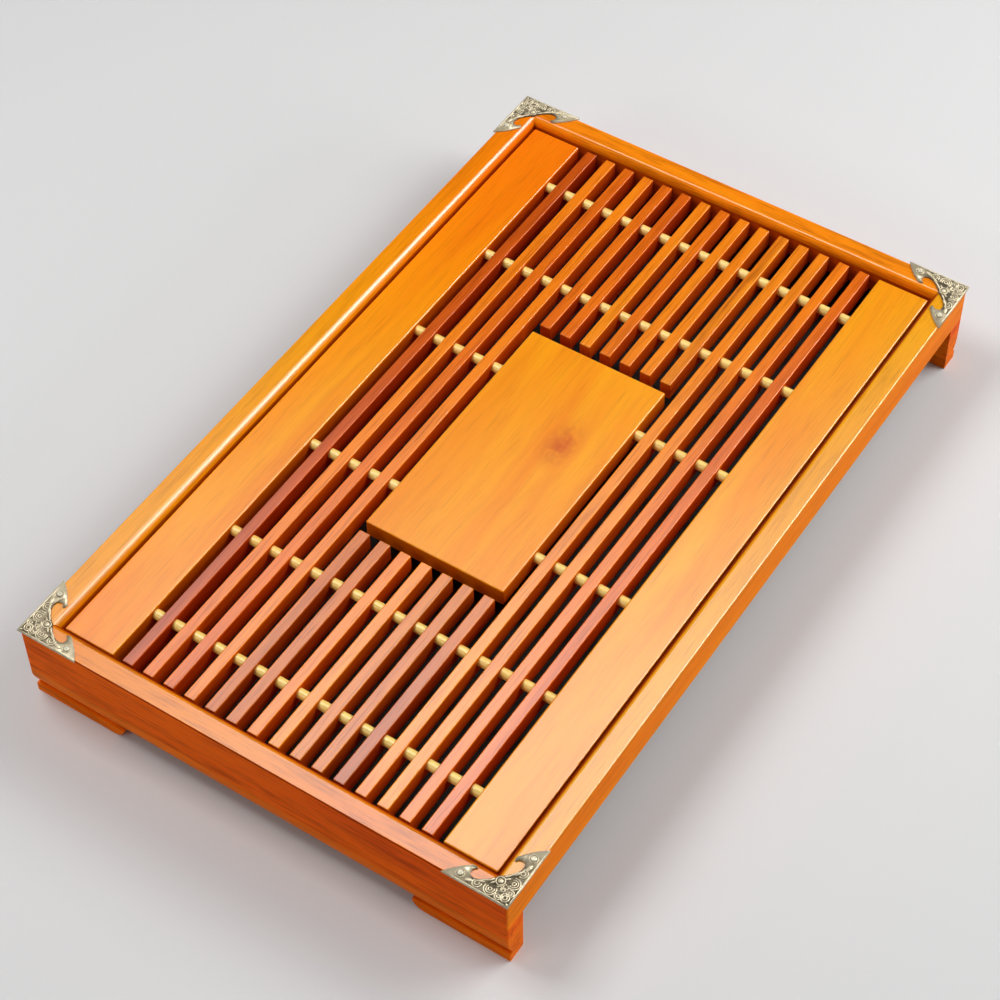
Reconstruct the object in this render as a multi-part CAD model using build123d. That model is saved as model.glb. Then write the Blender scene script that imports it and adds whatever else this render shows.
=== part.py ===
from build123d import *
import os

# A slatted tea tray: a mitred wooden frame on moulded end boards, a lift-out water pan that stands
# on cleats between the end boards, and a lift-off grate of slats on cleats along the rails.
# X runs along the tray, Y across it and Z up, with the origin on the table under its middle.

# Size of the wooden tray, with the height taken to the top of the rim
tray_length = 450.0
tray_width = 280.0
rim_height = 52.0

# Frame stock, used for the two rails and the two end boards
frame_stock = 13.0
rail_depth = 21.7
upright_edge_radius = 1.5
outer_arris_radius = 0.8
inner_arris_radius = 3.0

# Moulding on the outer face of each end board, from the rim down
moulding_face_height = 30.0
moulding_swell_height = 16.0
moulding_swell_depth = 4.4
moulding_ledge_width = 2.2
moulding_bead_radius = 1.3

# Bracket feet, and the apron cut between them with an ogee beside each foot
foot_length = 48.0
apron_rise = 10.5
ogee_width = 13.0

# Cleats inside the frame: two along the rails under the grate, two across the ends under the pan
cleat_width = 9.0
cleat_height = 4.7

# Lift-out water pan
pan_wall = 2.0
pan_floor = 2.0
pan_clearance = 0.8
pan_top_gap = 1.0
pan_corner_radius = 12.0
pan_cove_radius = 6.0

# Lift-off grate: two wide boards, the slats between them and their spacing
grate_recess = 4.5
grate_thickness = 11.0
grate_side_gap = 1.9
grate_end_gap = 2.0
slat_width = 6.2
slat_pitch = 12.4
slat_count = 15
slat_edge_radius = 0.5
board_gap = 5.7
board_edge_radius = 0.8

# Solid board in the middle of the grate
centre_length = 154.0
centre_width = 82.0
centre_end_gap = 5.9

# Dowels that thread the grate together, in mirrored pairs of rows
dowel_diameter = 5.5
dowel_axis_depth = 4.2
dowel_fit = 0.05
dowel_socket_share = 0.5
dowel_row_shares = (0.226, 0.547, 0.843)

# Brass corner plates, which stand out past the wood
plate_leg = 35.5
plate_thickness = 0.8
plate_overhang = 0.8

# Half of a plate's outline, from the tip of a leg to the crown on the diagonal
tip_share = (1.0, 0.0)
flank_share = (0.895, 0.135)
hook_back_share = (0.735, 0.275)
hook_tip_share = (0.675, 0.307)
hook_front_share = (0.63, 0.288)
hook_inside_share = (0.682, 0.215)
notch_share = (0.656, 0.158)
wing_start_share = (0.61, 0.148)
wing_middle_share = (0.51, 0.175)
wing_end_share = (0.435, 0.235)
cheek_share = (0.378, 0.29)
crown_share = (0.345, 0.345)

# Boss on the plate's diagonal
boss_place_share = 0.287
boss_diameter = 4.6
boss_height = 0.4

# Round-headed nails, one in each leg of a plate
nail_place_shares = (0.778, 0.11)
nail_head_diameter = 3.2
nail_head_height = 0.9
nail_head_round = 0.6
nail_shank_diameter = 1.2
nail_length = 9.0
nail_fit = 0.05

# How far a cutting tool runs past what it cuts
overrun = 5.0

# Levels and places that follow from the sizes above
end_x = tray_length / 2
side_y = tray_width / 2
opening_x = end_x - frame_stock
opening_y = side_y - frame_stock
grate_top = rim_height - grate_recess
grate_bottom = grate_top - grate_thickness
rail_bottom = rim_height - rail_depth
pan_bottom = apron_rise + cleat_height
cleat_x = opening_x - cleat_width
cleat_y = opening_y - cleat_width
grate_x = opening_x - grate_end_gap
grate_y = opening_y - grate_side_gap
outer_slat_y = slat_pitch * (slat_count - 1) / 2
board_inner_y = outer_slat_y + slat_width / 2 + board_gap
board_width = grate_y - board_inner_y
centre_x = centre_length / 2
centre_y = centre_width / 2
short_slat_x = centre_x + centre_end_gap
dowel_z = grate_top - dowel_axis_depth
dowel_end_y = board_inner_y + dowel_socket_share * board_width


def block(x0, x1, y0, y1, z0, z1):
    """A box between two corners."""
    middle = Pos((x0 + x1) / 2, (y0 + y1) / 2, (z0 + z1) / 2)
    return middle * Box(x1 - x0, y1 - y0, z1 - z0)


def rounded_slab(half_x, half_y, z0, z1, corner):
    """A rectangular slab with rounded upright edges, centred on the tray."""
    slab = block(-half_x, half_x, -half_y, half_y, z0, z1)
    return fillet(slab.edges().filter_by(Axis.Z), corner)


def pin(x, y, z0, z1, diameter):
    """An upright round pin."""
    return Pos(x, y, (z0 + z1) / 2) * Cylinder(diameter / 2, z1 - z0)


def moulding_section():
    """Lengthwise section of the solid frame, with the moulding at both ends."""
    face_end = (end_x, rim_height - moulding_face_height)
    notch = (end_x - moulding_swell_depth, face_end[1] - moulding_swell_height)
    base_x = notch[0] + moulding_ledge_width
    bead_start = (base_x - moulding_bead_radius, notch[1])
    bead_end = (base_x, notch[1] - moulding_bead_radius)
    half = make_face([
        Line((0, rim_height), (end_x, rim_height)),
        Line((end_x, rim_height), face_end),
        TangentArc(face_end, notch, tangent=(0, -1)),
        Line(notch, bead_start),
        TangentArc(bead_start, bead_end, tangent=(1, 0)),
        Line(bead_end, (base_x, 0)),
        Line((base_x, 0), (0, 0)),
        Line((0, 0), (0, rim_height)),
    ])
    return half + mirror(half, about=Plane.YZ)


def apron_cut():
    """The space between the two feet of an end board, right through the tray."""
    foot_y = side_y - foot_length
    apron_y = foot_y - ogee_width
    middle = (foot_y - ogee_width / 2, apron_rise / 2)
    half = make_face([
        Line((0, -overrun), (foot_y, -overrun)),
        Line((foot_y, -overrun), (foot_y, 0)),
        TangentArc((foot_y, 0), middle, tangent=(-1, 0)),
        TangentArc((apron_y, apron_rise), middle, tangent=(1, 0)),
        Line((apron_y, apron_rise), (0, apron_rise)),
        Line((0, apron_rise), (0, -overrun)),
    ])
    outline = half + mirror(half, about=Plane.YZ)
    return extrude(Plane.YZ * outline, end_x + overrun, both=True)


def frame_ring():
    """The four frame boards as one ring, before they are parted."""
    bar = extrude(Plane.XZ * moulding_section(), side_y, both=True)
    ring = bar & rounded_slab(end_x, side_y, 0, rim_height, upright_edge_radius)
    ring -= block(-opening_x, opening_x, -opening_y, opening_y, -overrun, rim_height + overrun)
    top = ring.faces().sort_by(Axis.Z)[-1]
    ring = fillet(top.inner_wires()[0].edges(), inner_arris_radius)
    top = ring.faces().sort_by(Axis.Z)[-1]
    ring = fillet(top.outer_wire().edges(), outer_arris_radius)
    return ring - apron_cut()


def left_rail_space():
    """The space of the left rail: mitred at both ends, and open below the rail."""
    outer_x = end_x + overrun
    outer_y = side_y + overrun
    inner_x = opening_x - overrun
    inner_y = opening_y - overrun
    corners = [(-outer_x, outer_y), (outer_x, outer_y), (inner_x, inner_y), (-inner_x, inner_y)]
    outline = make_face(Polyline(*corners, close=True))
    return Pos(0, 0, rail_bottom) * extrude(outline, rail_depth + overrun)


def corner_places():
    """The name and the place of each corner, turned so that X and Y run along the rim."""
    x = end_x + plate_overhang
    y = side_y + plate_overhang
    return {
        "front_right": Location((-x, -y, rim_height), (0, 0, 0)),
        "back_right": Location((x, -y, rim_height), (0, 0, 90)),
        "back_left": Location((x, y, rim_height), (0, 0, 180)),
        "front_left": Location((-x, y, rim_height), (0, 0, 270)),
    }


def nail_places():
    """The two nails of a plate, measured from its corner."""
    along = nail_place_shares[0] * plate_leg
    across = nail_place_shares[1] * plate_leg
    return [(along, across), (across, along)]


def nail_group(z0, z1, diameter):
    """Eight upright pins at the nails' places, between two heights above the rim."""
    pins = []
    for place in corner_places().values():
        for x, y in nail_places():
            pins.append(place * pin(x, y, z0, z1, diameter))
    return pins


def plate_point(share):
    return share[0] * plate_leg, share[1] * plate_leg


def corner_plate():
    """One bat-shaped plate with its boss and nail holes, at its own corner."""
    tip = plate_point(tip_share)
    hook_back = plate_point(hook_back_share)
    hook_tip = plate_point(hook_tip_share)
    hook_front = plate_point(hook_front_share)
    notch = plate_point(notch_share)
    wing_start = plate_point(wing_start_share)
    wing_end = plate_point(wing_end_share)
    cheek = plate_point(cheek_share)
    crown = plate_point(crown_share)
    half = make_face([
        Line((0, 0), tip),
        ThreePointArc(tip, plate_point(flank_share), hook_back),
        ThreePointArc(hook_back, hook_tip, hook_front),
        ThreePointArc(hook_front, plate_point(hook_inside_share), notch),
        Line(notch, wing_start),
        ThreePointArc(wing_start, plate_point(wing_middle_share), wing_end),
        Line(wing_end, cheek),
        Line(cheek, crown),
        Line(crown, (0, 0)),
    ])
    diagonal = Plane(origin=(0, 0, 0), x_dir=(1, 1, 0), z_dir=(1, -1, 0))
    plate = extrude(half + mirror(half, about=diagonal), plate_thickness)
    boss_place = boss_place_share * plate_leg
    plate += pin(boss_place, boss_place, 0, plate_thickness + boss_height, boss_diameter)
    for x, y in nail_places():
        plate -= pin(x, y, -overrun, overrun, nail_shank_diameter + 2 * nail_fit)
    return plate


def nail(x, y):
    """One nail with its head on the plate."""
    head = pin(x, y, plate_thickness, plate_thickness + nail_head_height, nail_head_diameter)
    head = fillet(head.edges().sort_by(Axis.Z)[-1], nail_head_round)
    return head + pin(x, y, plate_thickness - nail_length, plate_thickness, nail_shank_diameter)


def frame_parts():
    """Rails, end boards, cleats, corner plates and nails."""
    ring = frame_ring()
    for hole in nail_group(-nail_length, overrun, nail_shank_diameter + 2 * nail_fit):
        ring -= hole
    left_space = left_rail_space()
    right_space = mirror(left_space, about=Plane.XZ)
    ends = ring - left_space - right_space
    cut_y = side_y + overrun
    ends -= block(-opening_x, opening_x, -cut_y, cut_y, -overrun, rail_bottom)
    end_boards = ends.solids().sort_by(Axis.X)
    parts = {
        "front_end_board": end_boards[0],
        "back_end_board": end_boards[-1],
        "left_rail": ring & left_space,
        "right_rail": ring & right_space,
    }
    side_cleat = block(-opening_x, opening_x, cleat_y, opening_y, grate_bottom - cleat_height, grate_bottom)
    end_cleat = block(cleat_x, opening_x, -cleat_y, cleat_y, apron_rise, pan_bottom)
    parts["left_cleat"] = side_cleat
    parts["right_cleat"] = mirror(side_cleat, about=Plane.XZ)
    parts["back_cleat"] = end_cleat
    parts["front_cleat"] = mirror(end_cleat, about=Plane.YZ)
    plate = corner_plate()
    nails = []
    for corner, place in corner_places().items():
        parts["corner_plate_" + corner] = place * plate
        for x, y in nail_places():
            nails.append(place * nail(x, y))
    parts["corner_nails"] = Compound(children=nails)
    return parts


def water_pan():
    """The pan, with its floor on the end cleats and its walls inside the side cleats."""
    outer_x = opening_x - pan_clearance
    outer_y = cleat_y - pan_clearance
    pan_top = grate_bottom - pan_top_gap
    body = rounded_slab(outer_x, outer_y, pan_bottom, pan_top, pan_corner_radius)
    body = fillet(body.faces().sort_by(Axis.Z)[0].edges(), pan_cove_radius + pan_wall)
    inner_x = outer_x - pan_wall
    inner_y = outer_y - pan_wall
    inner_corner = pan_corner_radius - pan_wall
    hollow = rounded_slab(inner_x, inner_y, pan_bottom + pan_floor, pan_top + overrun, inner_corner)
    hollow = fillet(hollow.faces().sort_by(Axis.Z)[0].edges(), pan_cove_radius)
    return body - hollow


def dowel_rows():
    """The X place of each row of dowels, from front to back."""
    half = [share * grate_x for share in dowel_row_shares]
    return sorted([-x for x in half] + half)


def dowel(x, diameter):
    """A rod across the grate that ends inside the two wide boards."""
    return Pos(x, 0, dowel_z) * Rot(90, 0, 0) * Cylinder(diameter / 2, 2 * dowel_end_y)


def grate_bar(x0, x1, y0, y1, edge):
    """One board or slat with eased edges."""
    bar = block(x0, x1, y0, y1, grate_bottom, grate_top)
    return fillet(bar.edges(), edge)


def slat_bars():
    """Slats from the left side to the right, short ones where the centre board lies."""
    bars = {}
    for index in range(slat_count):
        y = outer_slat_y - index * slat_pitch
        y0 = y - slat_width / 2
        y1 = y + slat_width / 2
        number = str(index + 1).zfill(2)
        if y0 > centre_y or y1 < -centre_y:
            bars["slat_" + number] = grate_bar(-grate_x, grate_x, y0, y1, slat_edge_radius)
        else:
            bars["front_slat_" + number] = grate_bar(-grate_x, -short_slat_x, y0, y1, slat_edge_radius)
            bars["back_slat_" + number] = grate_bar(short_slat_x, grate_x, y0, y1, slat_edge_radius)
    return bars


def grate_parts():
    """Boards, slats and dowels of the grate."""
    bars = {
        "left_board": grate_bar(-grate_x, grate_x, board_inner_y, grate_y, board_edge_radius),
        "right_board": grate_bar(-grate_x, grate_x, -grate_y, -board_inner_y, board_edge_radius),
        "centre_board": grate_bar(-centre_x, centre_x, -centre_y, centre_y, board_edge_radius),
    }
    bars.update(slat_bars())
    for x in dowel_rows():
        hole = dowel(x, dowel_diameter + 2 * dowel_fit)
        for name, bar in bars.items():
            extent = bar.bounding_box()
            if extent.min.X < x < extent.max.X:
                bars[name] = bar - hole
    for number, x in enumerate(dowel_rows(), start=1):
        bars["dowel_" + str(number)] = dowel(x, dowel_diameter)
    return bars


def main():
    parts = frame_parts()
    parts["water_pan"] = water_pan()
    parts.update(grate_parts())
    os.makedirs("parts", exist_ok=True)
    for name, shape in parts.items():
        export_step(shape, "parts/" + name + ".step")


main()
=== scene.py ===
import bmesh
import bpy
from collections import namedtuple
from functools import partial
from math import atan2, cos, pi, radians, sin, tau
from mathutils import Matrix, Vector


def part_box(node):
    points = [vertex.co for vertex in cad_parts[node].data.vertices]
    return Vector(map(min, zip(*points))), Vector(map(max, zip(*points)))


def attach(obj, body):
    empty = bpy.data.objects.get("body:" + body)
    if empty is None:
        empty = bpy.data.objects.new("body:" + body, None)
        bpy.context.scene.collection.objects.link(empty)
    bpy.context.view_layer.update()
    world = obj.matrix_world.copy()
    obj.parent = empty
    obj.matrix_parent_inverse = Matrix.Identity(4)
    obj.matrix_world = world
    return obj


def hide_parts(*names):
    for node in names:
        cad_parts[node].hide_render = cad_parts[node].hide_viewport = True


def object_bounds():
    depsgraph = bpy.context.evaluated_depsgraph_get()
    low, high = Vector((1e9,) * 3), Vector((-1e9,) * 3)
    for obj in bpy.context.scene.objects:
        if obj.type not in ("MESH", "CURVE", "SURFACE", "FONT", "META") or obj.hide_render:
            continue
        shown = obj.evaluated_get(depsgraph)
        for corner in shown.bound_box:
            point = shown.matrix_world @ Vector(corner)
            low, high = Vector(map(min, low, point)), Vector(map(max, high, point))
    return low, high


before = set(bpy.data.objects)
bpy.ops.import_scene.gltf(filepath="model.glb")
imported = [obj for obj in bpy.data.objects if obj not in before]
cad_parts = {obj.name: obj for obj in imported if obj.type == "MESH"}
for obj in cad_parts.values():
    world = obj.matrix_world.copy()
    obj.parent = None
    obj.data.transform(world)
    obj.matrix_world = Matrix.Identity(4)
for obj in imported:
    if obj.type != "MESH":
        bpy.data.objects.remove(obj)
cad_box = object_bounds()
MM = 0.001

# Places on the tray, read from the CAD pieces
PLATE_CORNER_X = cad_box[1][0]
PLATE_CORNER_Y = cad_box[1][1]
WOOD_END_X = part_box("back_end_board")[1][0]
WOOD_SIDE_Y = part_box("left_rail")[1][1]
RAIL_BOTTOM, RIM_TOP = (corner[2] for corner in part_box("left_rail"))

# Sizes that the pieces' boxes don't show: the plain face of an end board, how far in its moulding reaches,
# how near the rim's edge the outer colour goes, and the sheet of a corner plate
FACE_BOTTOM = RIM_TOP - 30 * MM
MOULDING_REACH = 6 * MM
RIM_EDGE = 0.6 * MM
PLATE_SHEET = 0.8 * MM
PLATE_TOP = RIM_TOP + PLATE_SHEET

# Slat tones by number from the left side: one name for the back piece and one for the front
SLAT_TONES = {
    "01": ("umber", "umber"),
    "02": ("orange", "orange"),
    "03": ("russet", "russet"),
    "04": ("orange", "orange"),
    "05": ("russet", "plum"),
    "06": ("russet", "plum"),
    "07": ("amber", "orange"),
    "08": ("orange", "amber"),
    "09": ("amber", "rose"),
    "10": ("amber", "rose"),
    "11": ("walnut", "plum"),
    "12": ("honey", "honey"),
    "13": ("honey", "honey"),
    "14": ("orange", "orange"),
    "15": ("russet", "russet"),
}

# Light and dark grain colour of each lacquered wood
WOOD_TONES = {
    "umber": ((0.62, 0.10, 0.005), (0.36, 0.045, 0.003)),
    "russet": ((0.84, 0.18, 0.006), (0.60, 0.09, 0.004)),
    "orange": ((0.92, 0.24, 0.007), (0.76, 0.15, 0.005)),
    "amber": ((0.94, 0.29, 0.008), (0.84, 0.20, 0.006)),
    "honey": ((0.94, 0.29, 0.010), (0.86, 0.22, 0.007)),
    "rose": ((0.76, 0.22, 0.012), (0.60, 0.13, 0.008)),
    "plum": ((0.66, 0.16, 0.010), (0.44, 0.075, 0.005)),
    "walnut": ((1.0, 0.34, 0.010), (0.70, 0.16, 0.006)),
    "board": ((0.96, 0.35, 0.004), (0.88, 0.23, 0.003)),
    "right_board": ((0.96, 0.375, 0.004), (0.89, 0.27, 0.003)),
    "left_rail": ((0.92, 0.36, 0.004), (0.84, 0.26, 0.003)),
    "right_rail": ((0.88, 0.36, 0.004), (0.80, 0.27, 0.003)),
    "front_rim": ((0.82, 0.24, 0.004), (0.74, 0.17, 0.003)),
    "back_rim": ((0.97, 0.28, 0.004), (0.88, 0.18, 0.003)),
    "side": ((0.98, 0.25, 0.003), (0.88, 0.17, 0.002)),
    # The next two: painted shade on the end boards' outer faces and feet, and painted light on the bulge of
    # their moulding
    "end": ((0.98, 0.145, 0.001), (0.82, 0.085, 0.001)),
    "painted_swell_light": ((0.98, 0.20, 0.004), (0.90, 0.15, 0.003)),
    "cleat": ((0.45, 0.14, 0.03), (0.30, 0.08, 0.018)),
    "bamboo": ((1.0, 0.74, 0.19), (1.0, 0.54, 0.09)),
}

# A knot: its colour, how much distance along the grain counts beside distance across it, and how far the
# grain lines are pushed aside at its middle, as a share of their distance from it
KNOT_COLOUR = (0.66, 0.12, 0.004)
KNOT_SHARE_ALONG = 0.55
KNOT_PULL = 0.7

# How fast each pattern changes along the grain and across it
WAVER_RATES = (9.0, 26.0)
FIGURE_RATES = (2.6, 22.0)
STREAK_RATES = (6.0, 75.0)
PORE_RATES = (42.0, 1500.0)

# How much colour a dark streak or pore leaves, from its heart to its edge
DARK_STREAKS = [(0.30, (0.34, 0.20, 0.12)), (0.52, (1, 1, 1))]
DARK_PORES = [(0.30, (0.45, 0.28, 0.15)), (0.42, (1, 1, 1))]

# A piece that reddens toward the back: how much of its colour is left there, and from where to where
BLUSH_COLOUR = (1.0, 0.62, 0.4)
BLUSH_PLACE = (-40 * MM, 200 * MM)

# Painted shade in the lacquer, for sides, gaps and lips that lie in shadow: how much of each colour it
# leaves, how strong it is and how far below the piece's top it begins. It lies where the surface turns from
# level, between two values of its normal's Z, and where a side is named, only where the surface faces that
# way. It fades in over a short height, and where it lies, the coat is taken away too.
PaintedShade = namedtuple("PaintedShade", "colour strength depth begins whole side")
SHADE_FADE = 1.2 * MM
# Painted shade on the sides of the slats and boards, down in the gaps between them
SHADE_ON_SIDES = PaintedShade((0.68, 0.33, 0.20), 1.0, 0.0, 0.6, 0.25, None)
# Painted shade on a rim board's inner faces from 4 mm below its top, down into the gap beside the grate
SHADE_UNDER_RIM = SHADE_ON_SIDES._replace(depth=4 * MM)
# Darker painted shade on the inner lip and face beside the grate from the very top, and on the front board
# also along its outer top edge
SHADE_BESIDE_GRATE = PaintedShade((0.42, 0.13, 0.06), 1.0, -2 * MM, 0.99, 0.86, None)


# Node graphs and materials

class Graph:
    """A node tree, with a short way to add each kind of node. A value is a number, a colour or a socket."""

    def __init__(self, tree):
        self.nodes = tree.nodes
        self.links = tree.links

    def feed(self, socket, value):
        if isinstance(value, bpy.types.NodeSocket):
            self.links.new(value, socket)
        else:
            socket.default_value = value

    def coordinates(self, kind):
        return self.nodes.new("ShaderNodeTexCoord").outputs[kind]

    def light_path(self, kind):
        return self.nodes.new("ShaderNodeLightPath").outputs[kind]

    def parts(self, vector):
        """The X, Y and Z of a vector."""
        node = self.nodes.new("ShaderNodeSeparateXYZ")
        self.feed(node.inputs[0], vector)
        return node.outputs

    def vector(self, x, y, z):
        node = self.nodes.new("ShaderNodeCombineXYZ")
        for socket, value in zip(node.inputs, (x, y, z)):
            self.feed(socket, value)
        return node.outputs[0]

    def measure(self, operation, vector, axis=(0, 0, 0)):
        """A number worked out from a vector: its length, or its reach along an axis."""
        node = self.nodes.new("ShaderNodeVectorMath")
        node.operation = operation
        self.feed(node.inputs[0], vector)
        self.feed(node.inputs[1], axis)
        return node.outputs["Value"]

    def stretched(self, vector, rates, turned, shift):
        """A vector scaled by one rate along the grain and another across it, then moved."""
        along, across = rates
        node = self.nodes.new("ShaderNodeMapping")
        node.inputs["Location"].default_value = shift
        node.inputs["Scale"].default_value = (across, along, across) if turned else (along, across, across)
        self.feed(node.inputs["Vector"], vector)
        return node.outputs["Vector"]

    def calculate(self, operation, first, second=0.0):
        node = self.nodes.new("ShaderNodeMath")
        node.operation = operation
        self.feed(node.inputs[0], first)
        self.feed(node.inputs[1], second)
        return node.outputs[0]

    def sum(self, first, *others):
        for other in others:
            first = self.calculate("ADD", first, other)
        return first

    def product(self, first, *others):
        for other in others:
            first = self.calculate("MULTIPLY", first, other)
        return first

    def slope(self, value, start, end, low=0.0, high=1.0, shape="LINEAR"):
        """Goes from low to high while the value goes from start up to end, and stays there beyond."""
        node = self.nodes.new("ShaderNodeMapRange")
        node.interpolation_type = shape
        names = ("Value", "From Min", "From Max", "To Min", "To Max")
        for name, number in zip(names, (value, start, end, low, high)):
            self.feed(node.inputs[name], number)
        return node.outputs["Result"]

    def soft_edge(self, value, start, end, shape="SMOOTHSTEP"):
        """Rises from 0 at the start to 1 at the end, whichever of the two is the larger."""
        if start < end:
            return self.slope(value, start, end, 0.0, 1.0, shape)
        return self.slope(value, end, start, 1.0, 0.0, shape)

    def noise(self, vector, scale, detail=4.0, roughness=0.55, distortion=0.0):
        node = self.nodes.new("ShaderNodeTexNoise")
        self.feed(node.inputs["Vector"], vector)
        node.inputs["Scale"].default_value = scale
        node.inputs["Detail"].default_value = detail
        node.inputs["Roughness"].default_value = roughness
        node.inputs["Distortion"].default_value = distortion
        return node.outputs["Fac"]

    def ramp(self, value, stops):
        """A colour ramp over a value, from two (position, colour) stops."""
        node = self.nodes.new("ShaderNodeValToRGB")
        for element, (position, colour) in zip(node.color_ramp.elements, stops):
            element.position = position
            element.color = (*colour, 1)
        self.feed(node.inputs["Fac"], value)
        return node.outputs["Color"]

    def mix(self, factor, first, second, blend="MIX"):
        """Two colours mixed, or the second laid over the first by another blend."""
        node = self.nodes.new("ShaderNodeMix")
        node.data_type = "RGBA"
        node.blend_type = blend
        sockets = {socket.name: socket for socket in node.inputs if socket.enabled}
        self.feed(sockets["Factor"], factor)
        for name, colour in (("A", first), ("B", second)):
            self.feed(sockets[name], (*colour, 1) if isinstance(colour, tuple) else colour)
        return next(socket for socket in node.outputs if socket.enabled)

    def bump(self, height, strength, distance):
        node = self.nodes.new("ShaderNodeBump")
        node.inputs["Strength"].default_value = strength
        node.inputs["Distance"].default_value = distance
        self.feed(node.inputs["Height"], height)
        return node.outputs["Normal"]


def new_material(name):
    """A material with its graph and its shader."""
    material = bpy.data.materials.new(name)
    material.use_nodes = True
    return material, Graph(material.node_tree), material.node_tree.nodes["Principled BSDF"]


def finish(node, material):
    """Gives a CAD piece its finish."""
    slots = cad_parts[node].data.materials
    slots.clear()
    slots.append(material)


# Lacquered wood

def bent_grain(graph, place, shift, bend, knot):
    """Object coordinates whose grain lines waver and part round a knot, and how near the knot is, up to 1."""
    waver_place = graph.stretched(graph.coordinates("Object"), WAVER_RATES, False, shift)
    waver = graph.noise(waver_place, 1.0, detail=2.0)
    across = graph.sum(place["Y"], graph.product(graph.sum(waver, -0.5), bend))
    near = None
    if knot:
        knot_x, knot_y, radius = knot
        beyond = graph.product(graph.sum(place["X"], -knot_x), KNOT_SHARE_ALONG)
        beside = graph.sum(place["Y"], -knot_y)
        squares = graph.sum(graph.product(beyond, beyond), graph.product(beside, beside))
        near = graph.soft_edge(graph.calculate("SQRT", squares), radius, 0.0)
        across = graph.sum(across, graph.product(beside, near, -KNOT_PULL))
    return graph.vector(place["X"], across, place["Z"]), near


def grain_colour(graph, grain, turned, shift, figure, tone):
    """The slow change from light to dark wood along the grain."""
    light, dark = WOOD_TONES[tone]
    place = graph.stretched(grain, FIGURE_RATES, turned, shift)
    broad = graph.noise(place, 1.6, roughness=0.5, distortion=0.8)
    return graph.mix(figure, light, graph.ramp(broad, [(0.34, dark), (0.60, light)]))


def painted_shade_share(graph, node, place, facing, painted_shade):
    """How strongly a stain lies on each spot of a piece."""
    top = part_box(node)[1][2] - painted_shade.depth
    below = graph.soft_edge(place["Z"], top, top - SHADE_FADE)
    share = graph.product(below, graph.soft_edge(facing["Z"], painted_shade.begins, painted_shade.whole), painted_shade.strength)
    if painted_shade.side:
        share = graph.product(share, graph.soft_edge(facing[painted_shade.side], -0.1, 0.1))
    return share


def lacquer(node, tone, kind="lacquer", turned=False, shift=(0, 0, 0), figure=0.5, streaks=0.35, pores=0.35,
            bend=0.004, knot=None, blush=False, painted_shade=None, skin=None, gloss=0.85, gloss_turn=(0.25, 0.6)):
    """Gives a piece lacquer that lies thick on top, over wood with long streaks and short pores."""
    material, graph, shader = new_material(node + "_" + kind)
    place = graph.parts(graph.coordinates("Object"))
    facing = graph.parts(graph.coordinates("Normal"))
    grain, near_knot = bent_grain(graph, place, shift, 0.0 if turned else bend, knot)
    wood_colour = partial(grain_colour, graph, grain, turned, shift, figure)
    colour = wood_colour(tone)
    coat = graph.product(graph.soft_edge(facing["Z"], *gloss_turn), gloss)
    if knot:
        patchy = graph.noise(grain, 160.0, detail=3.0, distortion=1.5)
        colour = graph.mix(graph.product(near_knot, graph.soft_edge(patchy, 0.1, 0.6)), colour, KNOT_COLOUR)
    if blush:
        colour = graph.mix(graph.soft_edge(place["X"], *BLUSH_PLACE), colour, BLUSH_COLOUR, "MULTIPLY")
    # Painted shade: the colour darkens and the coat goes where the shade lies
    if painted_shade:
        share = painted_shade_share(graph, node, place, facing, painted_shade)
        colour = graph.mix(share, colour, painted_shade.colour, "MULTIPLY")
        coat = graph.product(coat, graph.calculate("SUBTRACT", 1.0, share))
    # The skin repaints the outer faces; on the end boards this is painted shade and painted light
    if skin:
        colour = skin(graph, place, colour, wood_colour)
    streak_place = graph.stretched(grain, STREAK_RATES, turned, shift)
    streak = graph.noise(streak_place, 3.4, detail=7.0, roughness=0.68, distortion=0.2)
    pore = graph.noise(graph.stretched(grain, PORE_RATES, turned, shift), 1.0, detail=1.5, roughness=0.5)
    colour = graph.mix(streaks, colour, graph.ramp(streak, DARK_STREAKS), "MULTIPLY")
    colour = graph.mix(pores, colour, graph.ramp(pore, DARK_PORES), "MULTIPLY")
    graph.feed(shader.inputs["Base Color"], colour)
    graph.feed(shader.inputs["Coat Weight"], coat)
    shader.inputs["Roughness"].default_value = 0.4
    shader.inputs["Specular IOR Level"].default_value = 0.02
    shader.inputs["Coat Roughness"].default_value = 0.09
    graph.feed(shader.inputs["Normal"], graph.bump(streak, 0.07, 0.4 * MM))
    finish(node, material)


def rail_skin(graph, place, colour, wood_colour):
    """The redder outer face of a rail."""
    outside = graph.calculate("GREATER_THAN", graph.calculate("ABSOLUTE", place["Y"]), WOOD_SIDE_Y - RIM_EDGE)
    below_rim = graph.calculate("LESS_THAN", place["Z"], RIM_TOP - RIM_EDGE)
    return graph.mix(graph.product(outside, below_rim), colour, wood_colour("side"))


def shaded_end_skin(graph, place, colour, wood_colour):
    """Painted shade: the outer face and feet of an end board in dark red; painted light: a brighter band on
    the moulding's bulge.
    """
    # Painted light on the bulge of the moulding, below the plain face; painted shade on the rest of the outer
    # face
    painted_swell_light = graph.soft_edge(place["Z"], FACE_BOTTOM + 1.5 * MM, FACE_BOTTOM - 1.5 * MM)
    outer = graph.mix(painted_swell_light, wood_colour("end"), wood_colour("painted_swell_light"))
    reach = graph.calculate("ABSOLUTE", place["X"])
    outside = graph.calculate("GREATER_THAN", reach, WOOD_END_X - MOULDING_REACH)
    foot = graph.calculate("LESS_THAN", place["Z"], RAIL_BOTTOM + 0.2 * MM)
    below_rim = graph.calculate("LESS_THAN", place["Z"], RIM_TOP - RIM_EDGE)
    return graph.mix(graph.product(graph.calculate("MAXIMUM", outside, foot), below_rim), colour, outer)


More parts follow.
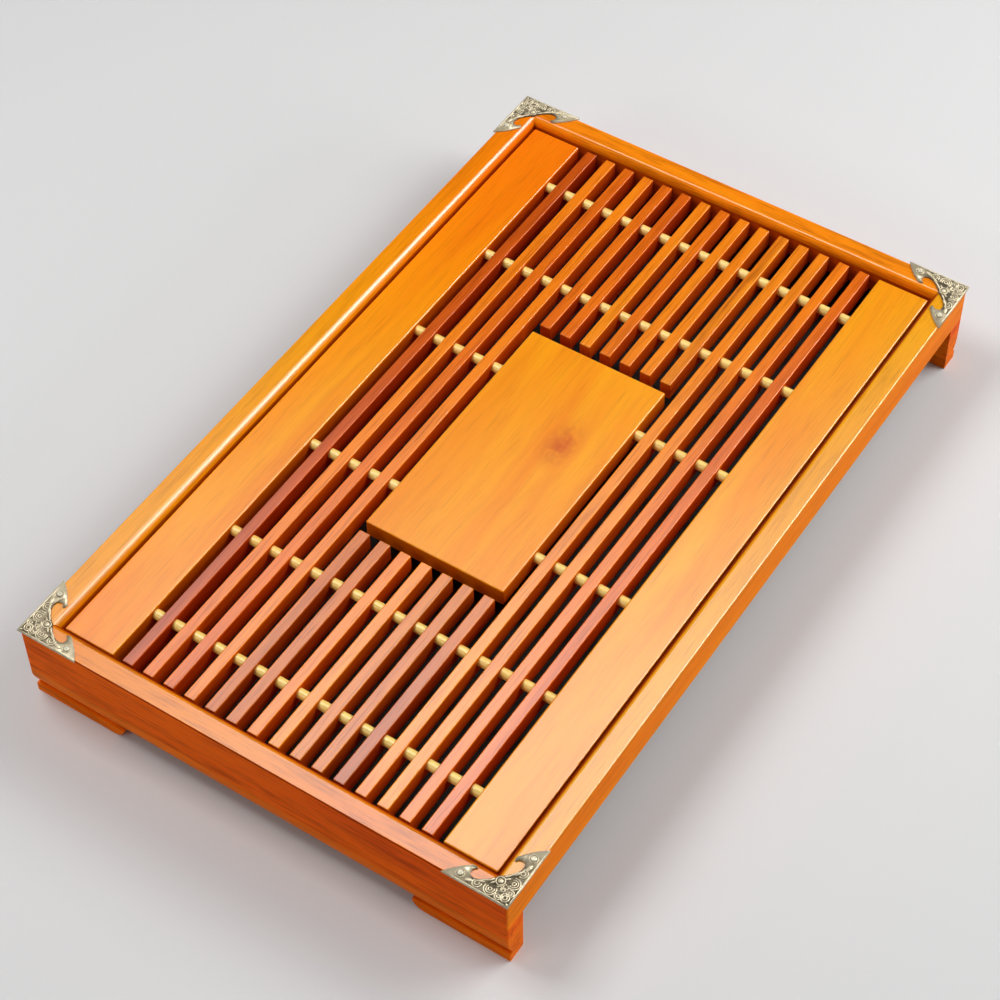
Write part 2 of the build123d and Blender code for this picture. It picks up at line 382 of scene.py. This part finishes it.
def finish_frame():
    """The frame's boards. Left and back get painted shade under their rim, right and front beside the grate.
    """
    # Painted shade only on the right rail's inner side
    right_lip_shade = SHADE_BESIDE_GRATE._replace(side="Y")
    for side, shift, blush, painted_shade in (("left", 0, True, SHADE_UNDER_RIM), ("right", 0.3, False, right_lip_shade)):
        rail = side + "_rail"
        lacquer(rail, rail, shift=(shift, 0, 0), figure=0.6, streaks=0.3, blush=blush, painted_shade=painted_shade,
                skin=rail_skin)
        lacquer(side + "_cleat", "cleat", "wood")
    for end, shift, painted_shade in (("front", 0, SHADE_BESIDE_GRATE), ("back", 0.4, SHADE_UNDER_RIM)):
        lacquer(end + "_end_board", end + "_rim", turned=True, shift=(0, shift, 0), figure=0.7, streaks=0.6,
                pores=0.6, painted_shade=painted_shade, skin=shaded_end_skin, gloss_turn=(0.93, 0.999))
        lacquer(end + "_cleat", "cleat", "wood", turned=True)


def finish_grate():
    """The grate's boards, slats and dowels."""
    wide = {"figure": 0.9, "streaks": 0.14, "pores": 0.25, "bend": 0.006, "painted_shade": SHADE_ON_SIDES}
    lacquer("left_board", "board", shift=(0, 0.2, 0), blush=True, gloss_turn=(0.75, 0.97), **wide)
    lacquer("right_board", "right_board", shift=(0.7, 0.2, 0), gloss_turn=(0.75, 0.97), **wide)
    lacquer("centre_board", "board", shift=(2.0, 0.5, 0), figure=0.9, streaks=0.12, pores=0.2, bend=0.008,
            knot=(18 * MM, -14 * MM, 13 * MM), painted_shade=SHADE_ON_SIDES._replace(strength=0.8), gloss=0.55,
            gloss_turn=(0.6, 0.95))
    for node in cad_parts:
        kind, _, number = node.rpartition("_")
        if kind.endswith("slat"):
            back_tone, front_tone = SLAT_TONES[number]
            tone = front_tone if kind == "front_slat" else back_tone
            shift = (0.13 * int(number), 0.37 * int(number), 0)
            streaks = 0.6 if tone == "walnut" else 0.4
            lacquer(node, tone, shift=shift, figure=0.9, streaks=streaks, pores=0.5, painted_shade=SHADE_ON_SIDES,
                    gloss_turn=(0.90, 0.999))
        elif kind == "dowel":
            shift = (0.2 * int(number), 0, 0)
            lacquer(node, "bamboo", "bamboo", turned=True, shift=shift, streaks=0.2, pores=0.15)


# Water pan and brass

def speckled(graph, scale, dark, light, detail=4.0, roughness=0.55):
    """A fine speckle, and the colour that it makes between a dark and a light one."""
    speck = graph.noise(graph.coordinates("Object"), scale, detail, roughness)
    return speck, graph.ramp(speck, [(0.3, dark), (0.7, light)])


def pan_plastic():
    """Black moulded plastic."""
    material, graph, shader = new_material("pan_black")
    speck, colour = speckled(graph, 900.0, (0.008, 0.007, 0.006), (0.016, 0.014, 0.012), detail=2.0)
    graph.feed(shader.inputs["Base Color"], colour)
    shader.inputs["Roughness"].default_value = 0.45
    shader.inputs["Specular IOR Level"].default_value = 0.12
    graph.feed(shader.inputs["Normal"], graph.bump(speck, 0.15, 0.2 * MM))
    return material


def nail_brass():
    """Duller brass with a speckled tarnish."""
    material, graph, shader = new_material("nail_brass")
    patina, metal = speckled(graph, 700.0, (0.30, 0.26, 0.17), (0.58, 0.54, 0.41), 3.0, 0.6)
    graph.feed(shader.inputs["Base Color"], metal)
    shader.inputs["Metallic"].default_value = 0.35
    shader.inputs["Roughness"].default_value = 0.5
    graph.feed(shader.inputs["Normal"], graph.bump(patina, 0.2, 0.2 * MM))
    return material


def corner_brass():
    """Pale antique brass: the wings' tips, the border and the raised forms bright, the recesses tarnished."""
    material, graph, shader = new_material("corner_brass")
    place = graph.parts(graph.coordinates("Object"))
    from_end = graph.calculate("SUBTRACT", PLATE_CORNER_X, graph.calculate("ABSOLUTE", place["X"]))
    from_side = graph.calculate("SUBTRACT", PLATE_CORNER_Y, graph.calculate("ABSOLUTE", place["Y"]))
    from_corner = graph.calculate("MAXIMUM", from_end, from_side)
    from_edge = graph.calculate("MINIMUM", from_end, from_side)
    height = graph.calculate("SUBTRACT", place["Z"], PLATE_TOP)
    tip = graph.soft_edge(from_corner, 22 * MM, 26 * MM, "LINEAR")
    border = graph.soft_edge(from_edge, 1.0 * MM, 0.7 * MM, "LINEAR")
    raised = graph.soft_edge(height, 0.06 * MM, 0.25 * MM, "LINEAR")
    bright = graph.calculate("MAXIMUM", graph.calculate("MAXIMUM", tip, border), raised)
    patina, metal = speckled(graph, 420.0, (0.38, 0.32, 0.20), (0.60, 0.52, 0.36), 4.0, 0.6)
    tarnish = graph.ramp(patina, [(0.35, (0.075, 0.058, 0.032)), (0.65, (0.22, 0.175, 0.105))])
    graph.feed(shader.inputs["Base Color"], graph.mix(bright, tarnish, metal))
    shader.inputs["Metallic"].default_value = 0.35
    shader.inputs["Roughness"].default_value = 0.46
    graph.feed(shader.inputs["Normal"], graph.bump(patina, 0.2, 0.2 * MM))
    return material


# Corner plates

# Outline of one wing, as shares of the leg: three arcs round the hook and one along the wing's inner edge,
# each through three points, then two plain points; last, the places of the nails
LEG = 35.5 * MM
PLATE_ARCS = [
    ((1.0, 0.0), (0.895, 0.135), (0.735, 0.275)),
    ((0.735, 0.275), (0.675, 0.307), (0.63, 0.288)),
    ((0.63, 0.288), (0.682, 0.215), (0.656, 0.158)),
    ((0.61, 0.148), (0.51, 0.175), (0.435, 0.235)),
]
PLATE_CHEEK = (0.378, 0.29)
PLATE_CROWN = (0.345, 0.345)
NAIL_PLACES = ((0.778, 0.11), (0.11, 0.778))

# Ring round each nail: radius and half width
NAIL_RING = (2.1 * MM, 0.3 * MM)
# A curl's height and the half width of its ends, as shares of its half width, and the turn of one step
CURL_HEIGHT = 1.1
CURL_END = 1.15
CURL_STEP = radians(14)

# Raised feathers of one wing: place along and across the leg, half length, half width, turn, height in mm
WING_FEATHERS = [
    (17.0, 0.65, 15.8, 0.47, 0, 0.30),
    (22.6, 3.0, 2.3, 1.04, -16, 0.42),
    (18.3, 5.1, 3.0, 0.60, -24, 0.38),
    (16.4, 6.9, 2.6, 0.57, -33, 0.38),
    (14.2, 8.6, 2.1, 0.57, -46, 0.36),
    (12.6, 8.0, 1.7, 0.55, -50, 0.34),
]
# Raised curls of one wing: centre along and across the leg, radius, start and sweep in degrees, and half
# width, the lengths in mm
WING_CURLS = [
    (18.6, 3.6, 2.15, 165, 220, 0.41),
    (18.6, 3.6, 1.05, 150, 250, 0.38),
    (12.0, 4.2, 3.00, 150, 225, 0.43),
    (12.0, 4.2, 1.95, 150, 240, 0.41),
    (12.0, 4.2, 0.85, 0, 360, 0.41),
    (6.9, 3.0, 1.75, 120, 260, 0.41),
    (6.9, 3.0, 0.75, 0, 360, 0.41),
    (8.6, 6.4, 1.30, 30, 280, 0.38),
]
# Raised rings on the diagonal: distance from both edges, radius and half width in mm
BODY_RINGS = [
    (10.2, 2.15, 0.39),
    (3.9, 2.05, 0.41),
    (3.9, 1.00, 0.39),
    (6.9, 1.05, 0.37),
]
# Raised domes on the diagonal: distance from both edges, half length, half width and height in mm
BODY_DOMES = [
    (10.2, 1.45, 1.45, 0.60),
    (1.55, 0.80, 0.55, 0.32),
    (8.4, 0.50, 0.70, 0.36),
    (5.6, 0.45, 0.60, 0.32),
]


def arc_points(start, middle, end, count=8):
    """Points on the circle through three points, without the last one."""
    a, b, c = (Vector(point) for point in (start, middle, end))
    d = 2 * (a.x * (b.y - c.y) + b.x * (c.y - a.y) + c.x * (a.y - b.y))
    squares = [p.length_squared for p in (a, b, c)]
    centre = Vector((
        (squares[0] * (b.y - c.y) + squares[1] * (c.y - a.y) + squares[2] * (a.y - b.y)) / d,
        (squares[0] * (c.x - b.x) + squares[1] * (a.x - c.x) + squares[2] * (b.x - a.x)) / d,
    ))
    radius = (a - centre).length
    angles = [atan2(p.y - centre.y, p.x - centre.x) for p in (a, b, c)]
    sweep = (angles[2] - angles[0]) % tau
    if (angles[1] - angles[0]) % tau > sweep:
        sweep -= tau
    steps = [angles[0] + sweep * index / count for index in range(count)]
    return [(centre.x + radius * cos(angle), centre.y + radius * sin(angle)) for angle in steps]


def plate_outline():
    """The bat-shaped outline of a plate, as shares of its leg."""
    half = []
    for arc in PLATE_ARCS[:3]:
        half += arc_points(*arc)
    half.append(PLATE_ARCS[2][2])
    half += arc_points(*PLATE_ARCS[3])
    half += [PLATE_ARCS[3][2], PLATE_CHEEK]
    other = [(y, x) for x, y in reversed(half)]
    return [(0, 0)] + half + [PLATE_CROWN] + other


def add_dome(mesh, x, y, half_length, half_width, turn, height):
    """A low dome on the plate's face."""
    place = Matrix.Translation((x, y, PLATE_SHEET)) @ Matrix.Rotation(turn, 4, "Z")
    size = Matrix.Diagonal((half_length, half_width, height, 1))
    bmesh.ops.create_uvsphere(mesh, u_segments=16, v_segments=8, radius=1, matrix=place @ size)


def add_curl(mesh, x, y, radius, start, sweep, half_width):
    """A raised bead bent round a centre, closed where it goes all the way round."""
    height = CURL_HEIGHT * half_width
    turn = Matrix.Rotation(start, 4, "Z")
    section = Matrix.Translation((x, y, PLATE_SHEET)) @ turn @ Matrix.Translation((radius, 0, 0))
    section = section @ Matrix.Rotation(pi / 2, 4, "X") @ Matrix.Diagonal((half_width, height, 1, 1))
    circle = bmesh.ops.create_circle(mesh, segments=8, radius=1, matrix=section)
    edges = list({edge for vertex in circle["verts"] for edge in vertex.link_edges})
    whole = abs(sweep) > 0.99 * tau
    steps = max(6, round(abs(sweep) / CURL_STEP))
    bmesh.ops.spin(mesh, geom=circle["verts"] + edges, cent=(x, y, 0), axis=(0, 0, 1),
                   angle=sweep, steps=steps, use_merge=whole)
    if not whole:
        for angle in (start, start + sweep):
            end = (x + radius * cos(angle), y + radius * sin(angle))
            add_dome(mesh, *end, CURL_END * half_width, CURL_END * half_width, 0, height)


def plate_mesh():
    """One stamped plate, with its corner at the origin and its legs along X and Y."""
    mesh = bmesh.new()
    corners = [mesh.verts.new((x * LEG, y * LEG, 0)) for x, y in plate_outline()]
    sheet = mesh.faces.new(corners)
    wall = bmesh.ops.extrude_face_region(mesh, geom=[sheet])
    top = [item for item in wall["geom"] if isinstance(item, bmesh.types.BMVert)]
    bmesh.ops.translate(mesh, verts=top, vec=(0, 0, PLATE_SHEET))
    for along, across, length, width, turn, height in WING_FEATHERS:
        sizes = (length * MM, width * MM)
        add_dome(mesh, along * MM, across * MM, *sizes, radians(turn), height * MM)
        add_dome(mesh, across * MM, along * MM, *sizes, radians(90 - turn), height * MM)
    for along, across, radius, start, sweep, width in WING_CURLS:
        add_curl(mesh, along * MM, across * MM, radius * MM, radians(start), radians(sweep), width * MM)
        add_curl(mesh, across * MM, along * MM, radius * MM, radians(90 - start), -radians(sweep), width * MM)
    for diagonal, radius, width in BODY_RINGS:
        add_curl(mesh, diagonal * MM, diagonal * MM, radius * MM, 0, tau, width * MM)
    for diagonal, length, width, height in BODY_DOMES:
        add_dome(mesh, diagonal * MM, diagonal * MM, length * MM, width * MM, radians(45), height * MM)
    radius, width = NAIL_RING
    for x, y in NAIL_PLACES:
        add_curl(mesh, x * LEG, y * LEG, radius, 0, tau, width)
    bmesh.ops.recalc_face_normals(mesh, faces=mesh.faces)
    return mesh


def make_corner_plates(brass):
    """The four stamped plates, in place of the plain ones."""
    corners = {
        "front_right": (-PLATE_CORNER_X, -PLATE_CORNER_Y, 0),
        "back_right": (PLATE_CORNER_X, -PLATE_CORNER_Y, 90),
        "back_left": (PLATE_CORNER_X, PLATE_CORNER_Y, 180),
        "front_left": (-PLATE_CORNER_X, PLATE_CORNER_Y, 270),
    }
    stamped = plate_mesh()
    for name, (x, y, turn) in corners.items():
        mesh = stamped.copy()
        place = Matrix.Translation((x, y, RIM_TOP)) @ Matrix.Rotation(radians(turn), 4, "Z")
        bmesh.ops.transform(mesh, matrix=place, verts=mesh.verts)
        data = bpy.data.meshes.new("stamped_plate_" + name)
        mesh.to_mesh(data)
        mesh.free()
        data.materials.append(brass)
        plate = bpy.data.objects.new("stamped_plate_" + name, data)
        bpy.context.scene.collection.objects.link(plate)
        data.shade_smooth()
        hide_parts("corner_plate_" + name)
        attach(plate, "frame")
    stamped.free()


# Floor, room, lamps and camera

# Brightness of the even ground and room that the camera sees, and of the room where it fills the shadows
BACKDROP = 0.80
AMBIENT = 0.19
# The mirrored room's brightness low down and overhead, and the heights between which it changes
ROOM_BRIGHTNESS = (1.0, 0.03)
ROOM_HEIGHTS = (0.15, 0.55)
# The paper's tone for the camera and for bounced light, and the distances over which it fades out
PAPER_SEEN = (0.74, 0.74, 0.74)
PAPER_AROUND = (0.62, 0.62, 0.62)
PAPER_FADE = (0.6, 2.0)

# Two level directions, along the window's short side and its long side
SHORT_SIDE = (0.776, 0.63, 0.0)
LONG_SIDE = (-0.63, 0.776, 0.0)

# The window's glow: its strength, and where each of its edges fades out and is whole
WINDOW_STRENGTH = 8.0
WINDOW_SLANT = -0.1
FAR_EDGE = (0.69, 0.54)
NEAR_EDGE = (0.30, 0.50)
LEFT_EDGE = (0.30, -0.05)
RIGHT_EDGE = (-0.62, -0.45)
OVERHEAD = (0.50, 0.66)

# The bright pane: its middle along the short and the long side, and two directions from there, each with
# how steeply the light falls off; last, where its end fades out and is whole
PANE_STRENGTH = 20.0
PANE_MIDDLE = (0.24, -0.53)
PANE_FALLS = (((0.63, 0.776), -5.0), ((0.776, -0.63), -28.0))
PANE_END = (-0.24, -0.38)

# Name, place, size and watts of each lamp; all look at the middle of the tray
SOFTBOXES = (
    ("right_softbox", (0.8, -0.7, 1.0), (0.9, 0.6), 11.4),
    ("side_softbox", (1.0, -2.8, 0.9), (2.0, 1.0), 21.7),
    ("top_softbox", (-0.2, 0.65, 1.3), (0.6, 0.6), 8.9),
    ("front_softbox", (-1.5, 0.66, 1.0), (0.7, 0.35), 4.0),
)

# The photograph's own viewpoint and lens
CAMERA_AZIMUTH = radians(-55.97)
CAMERA_ELEVATION = radians(50.80)
CAMERA_ROLL = radians(-0.97)
CAMERA_TARGET = Vector((-32.45 * MM, -10.01 * MM, RIM_TOP))
CAMERA_DISTANCE = 1263.53 * MM
CAMERA_LENS = 91.03


def make_floor():
    """Pale paper that keeps the tray's shadow and runs out into an even pale ground."""
    bpy.ops.mesh.primitive_plane_add(size=14)
    floor = bpy.context.object
    floor.name = "floor"
    material, graph, shader = new_material("floor_paper")
    camera = graph.light_path("Is Camera Ray")
    distance = graph.measure("LENGTH", graph.coordinates("Object"))
    far = graph.product(graph.soft_edge(distance, *PAPER_FADE), camera)
    paper = graph.mix(camera, PAPER_AROUND, PAPER_SEEN)
    graph.feed(shader.inputs["Base Color"], graph.mix(far, paper, (0, 0, 0)))
    shader.inputs["Emission Color"].default_value = (BACKDROP, BACKDROP, BACKDROP, 1)
    graph.feed(shader.inputs["Emission Strength"], far)
    shader.inputs["Roughness"].default_value = 0.9
    shader.inputs["Specular IOR Level"].default_value = 0.1
    floor.data.materials.append(material)


def window_glow(graph, direction, height):
    """The soft glow of a window high up behind the tray, and of one bright pane beside it."""
    across = graph.measure("DOT_PRODUCT", direction, SHORT_SIDE)
    along = graph.measure("DOT_PRODUCT", direction, LONG_SIDE)
    slant = graph.sum(across, graph.product(along, WINDOW_SLANT))
    window = graph.product(
        WINDOW_STRENGTH,
        graph.soft_edge(slant, *FAR_EDGE),
        graph.soft_edge(across, *NEAR_EDGE),
        graph.soft_edge(along, *LEFT_EDGE),
        graph.soft_edge(along, *RIGHT_EDGE),
    )
    aside = [graph.sum(value, -middle) for value, middle in zip((across, along), PANE_MIDDLE)]
    falls = []
    for shares, steepness in PANE_FALLS:
        apart = graph.sum(*(graph.product(value, share) for value, share in zip(aside, shares)))
        falls.append(graph.product(apart, apart, steepness))
    pane = graph.product(
        PANE_STRENGTH,
        graph.calculate("EXPONENT", graph.sum(*falls)),
        graph.soft_edge(along, *PANE_END),
    )
    return graph.product(graph.sum(window, pane), graph.soft_edge(height, *OVERHEAD))


def make_world():
    """A white room that darkens overhead and shows only in mirrored light, with the window's glow in it."""
    world = bpy.data.worlds.new("studio")
    bpy.context.scene.world = world
    world.use_nodes = True
    graph = Graph(world.node_tree)
    direction = graph.coordinates("Generated")
    height = graph.parts(direction)["Z"]
    glossy = graph.light_path("Is Glossy Ray")
    mirrored = graph.calculate("MAXIMUM", glossy, graph.light_path("Is Transmission Ray"))
    room = graph.slope(height, *ROOM_HEIGHTS, *ROOM_BRIGHTNESS)
    around = graph.slope(mirrored, 0.0, 1.0, AMBIENT, room)
    seen = graph.slope(graph.light_path("Is Camera Ray"), 0.0, 1.0, around, BACKDROP)
    glow = graph.product(window_glow(graph, direction, height), glossy)
    background = world.node_tree.nodes["Background"]
    background.inputs["Color"].default_value = (1, 1, 1, 1)
    graph.feed(background.inputs["Strength"], graph.sum(seen, glow))


def make_lamps():
    """Soft lamps above the tray and round it."""
    for name, place, size, watts in SOFTBOXES:
        data = bpy.data.lights.new(name, "AREA")
        data.shape = "RECTANGLE"
        data.size, data.size_y = size
        data.energy = watts
        lamp = bpy.data.objects.new(name, data)
        bpy.context.scene.collection.objects.link(lamp)
        lamp.location = place
        lamp.rotation_euler = (-Vector(place)).to_track_quat("-Z", "Y").to_euler()


def make_camera():
    """A camera at the photograph's viewpoint."""
    across = cos(CAMERA_ELEVATION)
    away = Vector((sin(CAMERA_AZIMUTH) * across, -cos(CAMERA_AZIMUTH) * across, sin(CAMERA_ELEVATION)))
    data = bpy.data.cameras.new("photo_camera")
    data.lens = CAMERA_LENS
    data.sensor_width = 36
    data.clip_end = 50
    camera = bpy.data.objects.new("photo_camera", data)
    bpy.context.scene.collection.objects.link(camera)
    turned = (-away).to_track_quat("-Z", "Y").to_matrix().to_4x4() @ Matrix.Rotation(CAMERA_ROLL, 4, "Z")
    camera.matrix_world = Matrix.Translation(CAMERA_TARGET + CAMERA_DISTANCE * away) @ turned
    bpy.context.scene.camera = camera


def main():
    bpy.context.scene.view_settings.view_transform = "Standard"
    finish_frame()
    finish_grate()
    finish("water_pan", pan_plastic())
    finish("corner_nails", nail_brass())
    make_corner_plates(corner_brass())
    make_floor()
    make_world()
    make_lamps()
    make_camera()


main()
